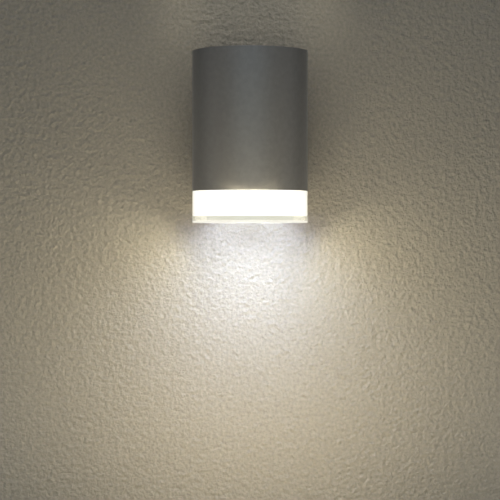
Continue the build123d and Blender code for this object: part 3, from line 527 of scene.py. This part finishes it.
tube = turned(
    "tube_body",
    [
        (BODY_R, RIM_Z), (BODY_R, TOP_Z), (RECESS_R, TOP_Z), (RECESS_R, TOP_Z - RECESS_DEPTH),
        (BORE_R, TOP_Z - RECESS_DEPTH), (BORE_R, MOUTH_TOP), (MOUTH_R, MOUTH_TOP),
        (MOUTH_R, GROOVE_TOP), (GROOVE_R, GROOVE_TOP), (GROOVE_R, GROOVE_LOW), (MOUTH_R, GROOVE_LOW),
        (MOUTH_R, STEP_TOP), (STEP_R, STEP_TOP), (STEP_R, RIM_Z),
    ],
    [(0, EDGE_R), (1, EDGE_R), (2, MOUTH_EDGE_R), (13, MOUTH_EDGE_R)],
)
holes = bmesh.new()
add_rounded_block(
    holes, (-WINDOW_W / 2, AXIS_Y, -WINDOW_H / 2), (WINDOW_W / 2, 0, WINDOW_H / 2), WINDOW_CORNER, 1
)
for x in (-SCREW_X, SCREW_X):
    for z in (-SCREW_Z, SCREW_Z):
        add_rod(holes, SCREW_HOLE_R, (x, AXIS_Y, z), (x, 0, z))
cut_away(tube, piece_from(holes, "cutter"))
spot_faces = bmesh.new()
for x in (-SCREW_X, SCREW_X):
    for z in (-SCREW_Z, SCREW_Z):
        add_rod(spot_faces, SPOT_FACE_R, (x, AXIS_Y, z), (x, SPOT_FACE_Y, z))
cut_away(tube, piece_from(spot_faces, "cutter"))
thread = thread_turn(
    MOUTH_R - EDGE_R, MOUTH_R + MOUTH_THREAD_DEPTH, MOUTH_THREAD_Z, MOUTH_THREAD_TURNS
)
cut_away(tube, thread)

satin_coat, tree, shader = finish_of("satin_coat", SATIN, metallic=0.5, roughness=0.50)
shade_between(tree, shader, noise_on(tree, size=0.004, detail=5), SATIN, SATIN_LIGHT)
roughness_between(tree, shader, noise_on(tree, size=0.0015), low=0.47, high=0.53)
relief(tree, shader, noise_on(tree, size=0.0007, detail=3), depth=0.000012)
fit(tube, satin_coat, "housing", "satin_aluminium", "housing_tube")

# Top cap: a die-cast disc on the ledge inside the tube's top, coated as the tube is, with a sealed
# spigot and two ribbed bosses below.
piece = edge_rounded("top_cap", "cap_casting", width=0.0002)
fit(piece, cast_coat, "housing", "cast_aluminium", "top_cap")
dress(black_rubber, "cap_seal")

# Strap that carries the lampholder: bent zinc-plated strip, hung from the cap's bosses by two screws, with
# a slot that the leads pass through.
STRAP_SCREW_X, STRAP_SCREW_SEAT, STRAP_SCREW_LENGTH = 0.028, 0.0387, 0.008

piece = edge_rounded("holder_strap", "strap_pressing", width=0.00015)
fit(piece, zinc_plate, "housing", "zinc_steel", "holder_strap")
strap_places = [turned_to("X", 180, side * STRAP_SCREW_X, AXIS_Y, STRAP_SCREW_SEAT) for side in (-1, 1)]
piece = screw_set("strap_screw_set", strap_places, STRAP_SCREW_LENGTH, **M4)
fit(piece, stainless, "housing", "stainless", "strap_screws")

# Lampholder: two pressed and fired ceramic halves, the lower one with the bayonet slots. Two long screws
# and their nuts clamp both to the strap.
CERAMIC = (0.80, 0.77, 0.70)
CERAMIC_DARK = (0.72, 0.69, 0.61)
M3 = {"shank_r": 0.0015, "head_r": 0.00275, "head_h": 0.002, "pitch": 0.0005}
HOLDER_SCREW_X, HOLDER_SCREW_SEAT, HOLDER_SCREW_LENGTH = 0.0104, 0.0146, 0.0182

ceramic, tree, shader = finish_of("ceramic", CERAMIC, metallic=0.0, roughness=0.55)
shade_between(tree, shader, noise_on(tree, size=0.005, detail=5), CERAMIC_DARK, CERAMIC)
relief(tree, shader, noise_on(tree, size=0.0006), depth=0.00004)
piece = edge_rounded("lampholder_face", "holder_face", width=0.00015, flat=0.002, inner=False)
fit(piece, ceramic, "housing", "ceramic", "lampholder_face")
piece = edge_rounded("lampholder", "holder_body", width=0.0002)
fit(piece, ceramic, "housing", "ceramic", "lampholder")

holder_places = [
    Matrix.Translation((side * HOLDER_SCREW_X, AXIS_Y, HOLDER_SCREW_SEAT)) for side in (-1, 1)
]
piece = screw_set("holder_screw_set", holder_places, HOLDER_SCREW_LENGTH, **M3)
fit(piece, stainless, "housing", "stainless", "holder_screws")
piece = edge_rounded("holder_nuts", "holder_nut_set", width=0.0001)
fit(piece, stainless, "housing", "stainless", "holder_nuts")

# Contacts, terminals and lug: bent bronze strip behind the slots, turned brass tubes in the block, and a
# stamped ring lug of nickel-plated brass, which the lamp's pins are made of as well.
BRONZE, BRONZE_DARK = (0.50, 0.30, 0.14), (0.40, 0.23, 0.10)
BRASS, BRASS_DARK = (0.60, 0.44, 0.17), (0.50, 0.35, 0.12)
NICKEL, NICKEL_DARK = (0.55, 0.52, 0.46), (0.47, 0.44, 0.39)

bronze, tree, shader = finish_of("bronze", BRONZE, metallic=1.0, roughness=0.3)
shade_between(tree, shader, noise_on(tree, size=0.002, detail=5), BRONZE_DARK, BRONZE)
dress(bronze, "holder_contacts")
brass, tree, shader = finish_of("brass", BRASS, metallic=1.0, roughness=0.25)
shade_between(tree, shader, noise_on(tree, size=0.002, detail=5), BRASS_DARK, BRASS)
dress(brass, "terminal_tubes")
nickel, tree, shader = finish_of("nickel", NICKEL, metallic=1.0, roughness=0.22)
shade_between(tree, shader, noise_on(tree, size=0.002, detail=5), NICKEL_DARK, NICKEL)
dress(nickel, "earth_lug")

# Terminal block: moulded white plastic, screwed to the strap's rear tab, with two slotted clamping screws
# over each of its three brass tubes. The earth screw beside it goes into the strap's leg.
MOULDED_WHITE, MOULDED_SHADE = (0.76, 0.76, 0.73), (0.71, 0.71, 0.67)
POLE_PITCH, TERMINAL_Z = 0.0093, 0.00275
TERMINAL_SCREW_SEAT, TERMINAL_SCREW_LENGTH, TERMINAL_SCREW_RISE = -0.0259, 0.0045, 0.0035
M25 = {"shank_r": 0.00125, "head_r": 0.0016, "head_h": 0.001, "pitch": 0.00045}
BLOCK_SCREW_SEAT, BLOCK_SCREW_LENGTH = -0.0279, 0.012
EARTH_SCREW_AT, EARTH_SCREW_LENGTH = (0.0149, -0.061, 0.02725), 0.005

terminal_plastic, tree, shader = finish_of("terminal_plastic", MOULDED_WHITE, metallic=0.0, roughness=0.42)
shade_between(tree, shader, noise_on(tree, size=0.006), MOULDED_SHADE, MOULDED_WHITE)
relief(tree, shader, noise_on(tree, size=0.0004), depth=0.00001)
piece = edge_rounded("terminal_block", "terminal_moulding", width=0.00015)
fit(piece, terminal_plastic, "housing", "terminal_plastic", "terminal_block")
clamping_places = [
    turned_to("X", -90, x, TERMINAL_SCREW_SEAT, TERMINAL_Z + rise)
    for x in (-POLE_PITCH, 0, POLE_PITCH) for rise in (-TERMINAL_SCREW_RISE, TERMINAL_SCREW_RISE)
]
piece = screw_set("terminal_screw_set", clamping_places, TERMINAL_SCREW_LENGTH, **M25, slotted=True)
fit(piece, stainless, "housing", "stainless", "terminal_screws")
block_places = [turned_to("X", -90, side * POLE_PITCH / 2, BLOCK_SCREW_SEAT, TERMINAL_Z) for side in (-1, 1)]
piece = screw_set("block_screw_set", block_places, BLOCK_SCREW_LENGTH, **M3)
fit(piece, stainless, "housing", "stainless", "terminal_fixing_screws")
piece = screw_set("earth_screw_turned", [turned_to("Y", -90, *EARTH_SCREW_AT)], EARTH_SCREW_LENGTH, **M4)
fit(piece, stainless, "housing", "stainless", "earth_screw")

# Leads: copper cores in silicone insulation, brown and blue from the block to the holder's contacts, and
# green with a yellow stripe from the block to the earth screw.
LEAD_BROWN, LEAD_BLUE = (0.10, 0.035, 0.015), (0.02, 0.09, 0.30)
LEAD_GREEN, LEAD_YELLOW = (0.03, 0.26, 0.04), (0.74, 0.60, 0.04)
LEAD_SHADE = 0.85
STRIPE_SCALE, STRIPE_EDGE = 90, (0.64, 0.68)

for lead, colour in (("lead_live", LEAD_BROWN), ("lead_neutral", LEAD_BLUE)):
    insulation, tree, shader = finish_of(lead + "_insulation", colour, metallic=0.0, roughness=0.45)
    darker = tuple(LEAD_SHADE * c for c in colour)
    shade_between(tree, shader, noise_on(tree, size=0.003), darker, colour)
    dress(insulation, lead)
insulation, tree, shader = finish_of("lead_earth_insulation", LEAD_GREEN, metallic=0.0, roughness=0.45)
place = tree.nodes.new("ShaderNodeTexCoord")
stripes = tree.nodes.new("ShaderNodeTexWave")
stripes.bands_direction = "DIAGONAL"
stripes.inputs["Scale"].default_value = STRIPE_SCALE
tree.links.new(place.outputs["Object"], stripes.inputs["Vector"])
shade_between(tree, shader, stripes.outputs["Fac"], LEAD_GREEN, LEAD_YELLOW, STRIPE_EDGE)
dress(insulation, "lead_earth")

# Reflector plate: spun steel dish in white enamel that fills the mouth round the lamp, held against its
# ledge by the spring ring.
ENAMEL, ENAMEL_SHADE = (0.84, 0.84, 0.81), (0.80, 0.80, 0.77)

white_enamel, tree, shader = finish_of("white_enamel", ENAMEL, metallic=0.0, roughness=0.35)
shade_between(tree, shader, noise_on(tree, size=0.008), ENAMEL_SHADE, ENAMEL)
relief(tree, shader, noise_on(tree, size=0.001), depth=0.00002)
piece = edge_rounded("reflector_plate", "reflector_dish", width=0.0003)
fit(piece, white_enamel, "housing", "white_enamel", "reflector_plate")

# Spring ring: an open ring stamped from spring steel, phosphated dark, sprung into the groove of the
# tube's mouth.
PHOSPHATE, PHOSPHATE_DARK = (0.055, 0.052, 0.050), (0.04, 0.038, 0.036)

spring_steel, tree, shader = finish_of("spring_steel", PHOSPHATE, metallic=0.8, roughness=0.5)
shade_between(tree, shader, noise_on(tree, size=0.002), PHOSPHATE_DARK, PHOSPHATE)
piece = edge_rounded("retaining_ring", "spring_ring", width=0.0001)
fit(piece, spring_steel, "housing", "spring_steel", "retaining_ring")

# Ring seal of the cup: moulded milky silicone, stretched over the neck and squeezed against the step in
# the tube's mouth.
SILICONE, SILICONE_SHADE = (0.62, 0.61, 0.58), (0.57, 0.56, 0.53)

silicone, tree, shader = finish_of("silicone", SILICONE, metallic=0.0, roughness=0.4)
shade_between(tree, shader, noise_on(tree, size=0.003), SILICONE_SHADE, SILICONE)
dress(silicone, "diffuser_seal")

# Clear cup: injection-moulded acrylic, flush with the tube and polished, with a small radius at its foot.
# Painted glow in the clear acrylic itself stands in for the white cup's light: a faint band painted into its
# wall below the white cup's foot and a brighter glow painted into its floor.
CUP_TOP = -0.05465
CUP_FOOT = -0.0795
CUP_BORE_R, CUP_FLOOR = 0.0430, 0.0017
CUP_ROUND, CUP_TOP_ROUND, CUP_FLOOR_ROUND = 0.0006, 0.0002, 0.0003
# Painted glow of the clear acrylic: its floor and the band of its wall below the white cup give off light,
# though the clear cup is no lamp.
PAINTED_GLOW_EDGE = 0.0003
OPAL_FOOT = -0.0741
CLEAR = (0.985, 0.985, 0.955)
ACRYLIC_IOR = 1.49
PAINTED_BAND_GLOW = (0.13, 0.13, 0.11)
PAINTED_FOOT_GLOW = (0.15, 0.145, 0.13)


def glow_by_height(tree, shader, foot, top, heights, colours):
    """The light that the piece gives off, by height between its foot and its top."""
    place = tree.nodes.new("ShaderNodeTexCoord")
    split = tree.nodes.new("ShaderNodeSeparateXYZ")
    climb = tree.nodes.new("ShaderNodeMapRange")
    climb.inputs["From Min"].default_value = foot
    climb.inputs["From Max"].default_value = top
    lit = tree.nodes.new("ShaderNodeValToRGB")
    for _ in range(len(heights) - 2):
        lit.color_ramp.elements.new(0.5)
    for stop, height, colour in zip(lit.color_ramp.elements, heights, colours):
        stop.position = (height - foot) / (top - foot)
        stop.color = (*colour, 1)
    tree.links.new(place.outputs["Object"], split.inputs["Vector"])
    tree.links.new(split.outputs["Z"], climb.inputs["Value"])
    tree.links.new(climb.outputs["Result"], lit.inputs["Fac"])
    tree.links.new(lit.outputs["Color"], shader.inputs["Emission Color"])
    shader.inputs["Emission Strength"].default_value = 1.0


clear_cup = turned(
    "clear_cup",
    [
        (0, CUP_FOOT), (BODY_R, CUP_FOOT), (BODY_R, CUP_TOP), (CUP_BORE_R, CUP_TOP),
        (CUP_BORE_R, CUP_FOOT + CUP_FLOOR), (0, CUP_FOOT + CUP_FLOOR),
    ],
    [(1, CUP_ROUND), (2, CUP_TOP_ROUND), (4, CUP_FLOOR_ROUND)],
)
clear_acrylic, tree, shader = finish_of("clear_acrylic", CLEAR, metallic=0.0, roughness=0.02)
shader.inputs["Transmission Weight"].default_value = 1.0
shader.inputs["IOR"].default_value = ACRYLIC_IOR
# Painted glow: emission on the clear cup, brighter at its floor and fainter in the band below the white cup,
# standing in for the white cup's light.
glow_by_height(
    tree, shader, CUP_FOOT, CUP_TOP,
    (CUP_FOOT + CUP_FLOOR, CUP_FOOT + CUP_FLOOR + PAINTED_GLOW_EDGE, OPAL_FOOT, OPAL_FOOT + PAINTED_GLOW_EDGE),
    (PAINTED_FOOT_GLOW, PAINTED_BAND_GLOW, PAINTED_BAND_GLOW, (0, 0, 0)),
)
fit(clear_cup, clear_acrylic, "diffuser", "clear_acrylic", "diffuser_outer")

# White cup: opal acrylic, moulded inside the clear one, glowing with the lamp's light. Its neck screws
# into the tube's mouth.
OPAL_TOP, OPAL_FLOOR = -0.0460, 0.003
OPAL_R, OPAL_BORE_R, NECK_R, NECK_ROOT_R = 0.04315, 0.0396, 0.0419, 0.0410
NECK_CORE_R, NECK_LEAD_IN, NECK_THREAD_Z = 0.0412, 0.0003, -0.0510
OPAL_FOOT_ROUND, NECK_ROUND, OPAL_FLOOR_ROUND = 0.0002, 0.0005, 0.003
OPAL, OPAL_SHADE = (0.90, 0.89, 0.85), (0.88, 0.87, 0.82)
GLOW = (1.0, 0.97, 0.90)
NECK_GLOW = (0.36, 0.34, 0.29)

white_cup = turned(
    "white_cup",
    [
        (0, OPAL_FOOT), (OPAL_R, OPAL_FOOT), (OPAL_R, CUP_TOP), (NECK_ROOT_R, CUP_TOP),
        (NECK_ROOT_R, STEP_TOP), (NECK_CORE_R, STEP_TOP + NECK_LEAD_IN), (NECK_CORE_R, OPAL_TOP),
        (OPAL_BORE_R, OPAL_TOP), (OPAL_BORE_R, OPAL_FOOT + OPAL_FLOOR), (0, OPAL_FOOT + OPAL_FLOOR),
    ],
    [(1, OPAL_FOOT_ROUND), (6, NECK_ROUND), (8, OPAL_FLOOR_ROUND)],
)
thread = thread_turn(NECK_CORE_R - NECK_LEAD_IN, NECK_R, NECK_THREAD_Z, 1)
cut_away(white_cup, thread, operation="UNION")
opal_acrylic, tree, shader = finish_of("opal_acrylic", OPAL, metallic=0.0, roughness=0.35)
shade_between(tree, shader, noise_on(tree, size=0.01), OPAL_SHADE, OPAL)
glow_by_height(tree, shader, OPAL_FOOT, OPAL_TOP, (CUP_TOP, STEP_TOP), (GLOW, NECK_GLOW))
fit(white_cup, opal_acrylic, "diffuser", "opal_acrylic", "diffuser_inner")

# Lamp: a reflector lamp with a moulded white body and cap, a clear pebbled front lens, a board behind it,
# and two headed pins that hang in the holder's slots.
LENS = (0.93, 0.94, 0.94)
LENS_TRANSMISSION = 0.9
LAMP_WHITE, LAMP_SHADE = (0.80, 0.80, 0.78), (0.76, 0.76, 0.735)
LAMP_CAP, LAMP_CAP_SHADE = (0.70, 0.70, 0.67), (0.66, 0.66, 0.63)
BOARD, BOARD_SHADE = (0.82, 0.82, 0.80), (0.78, 0.78, 0.76)

lens_clear, tree, shader = finish_of("lens_clear", LENS, metallic=0.0, roughness=0.12)
shader.inputs["Transmission Weight"].default_value = LENS_TRANSMISSION
shader.inputs["IOR"].default_value = ACRYLIC_IOR
relief(tree, shader, noise_on(tree, size=0.0015), depth=0.0001)
piece = edge_rounded("lamp_lens", "lamp_front_lens", width=0.0002)
fit(piece, lens_clear, "lamp", "lens_clear", "lamp_lens")

lamp_white, tree, shader = finish_of("lamp_white", LAMP_WHITE, metallic=0.0, roughness=0.38)
shade_between(tree, shader, noise_on(tree, size=0.007), LAMP_SHADE, LAMP_WHITE)
fit(edge_rounded("lamp_shell", "lamp_body", width=0.0003), lamp_white, "lamp", "lamp_white", "lamp_shell")
base_plastic, tree, shader = finish_of("lamp_base_plastic", LAMP_CAP, metallic=0.0, roughness=0.45)
shade_between(tree, shader, noise_on(tree, size=0.005), LAMP_CAP_SHADE, LAMP_CAP)
piece = edge_rounded("lamp_base", "lamp_cap", width=0.0002)
fit(piece, base_plastic, "lamp", "lamp_base_plastic", "lamp_base")
dress(nickel, "lamp_pins")
board_white, tree, shader = finish_of("board_white", BOARD, metallic=0.0, roughness=0.3)
shade_between(tree, shader, noise_on(tree, size=0.004), BOARD_SHADE, BOARD)
dress(board_white, "led_board")
